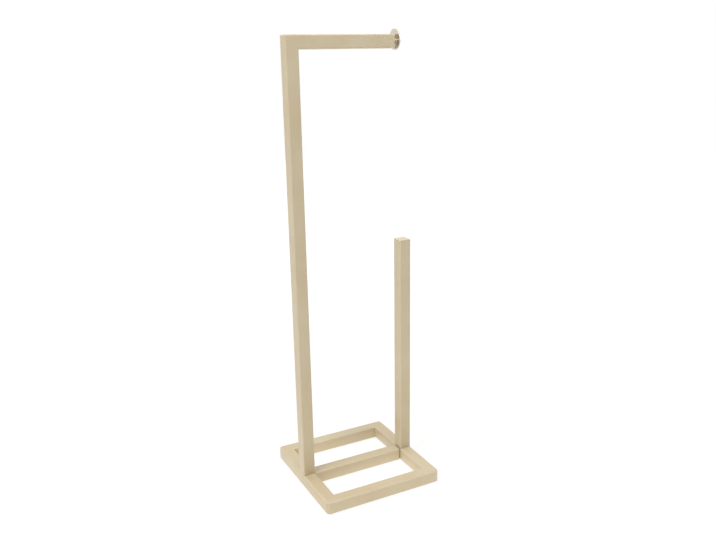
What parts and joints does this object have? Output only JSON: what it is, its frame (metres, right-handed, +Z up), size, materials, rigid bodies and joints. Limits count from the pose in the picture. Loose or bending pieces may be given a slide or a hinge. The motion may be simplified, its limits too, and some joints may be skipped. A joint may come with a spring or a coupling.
{
  "type": "toilet roll holder",
  "caption": "Free-standing toilet roll holder: square tube base frame, tall post with a level roll arm and a bright end disc, and a shorter post for spare rolls.",
  "frame": {"origin": "on the floor, under the middle of the base", "axes": "+X along the roll arm, from the tall post to its free end; +Y to the rear; +Z up"},
  "size_m": [0.2, 0.2, 0.7085],
  "materials": {
    "coat": "satin beige powder coat on steel tube",
    "nickel": "polished nickel plating, paler and warmer than chrome",
    "zinc": "dull zinc plating",
    "pad": "matt foam rubber"
  },
  "bodies": {
    "root": {"front_rail": "coat", "rear_rail": "coat", "left_rail": "coat", "right_rail": "coat", "centre_rail": "coat", "tall_post": "coat", "roll_arm": "coat", "spare_post": "coat", "spare_post_cap": "coat", "tall_post_foot_plate": "coat", "spare_post_foot_plate": "coat", "tall_post_weld_nut": "zinc", "spare_post_weld_nut": "zinc", "tall_post_screw": "zinc", "spare_post_screw": "zinc", "tall_post_spring_washer": "zinc", "spare_post_spring_washer": "zinc", "tall_post_flat_washer": "zinc", "spare_post_flat_washer": "zinc", "arm_end_plate": "nickel", "roll_stop_spacer": "nickel", "roll_stop_disc": "nickel", "roll_stop_screw": "nickel", "foot_pad_front_left": "pad", "foot_pad_front_right": "pad", "foot_pad_rear_left": "pad", "foot_pad_rear_right": "pad"}
  },
  "joints": []
}
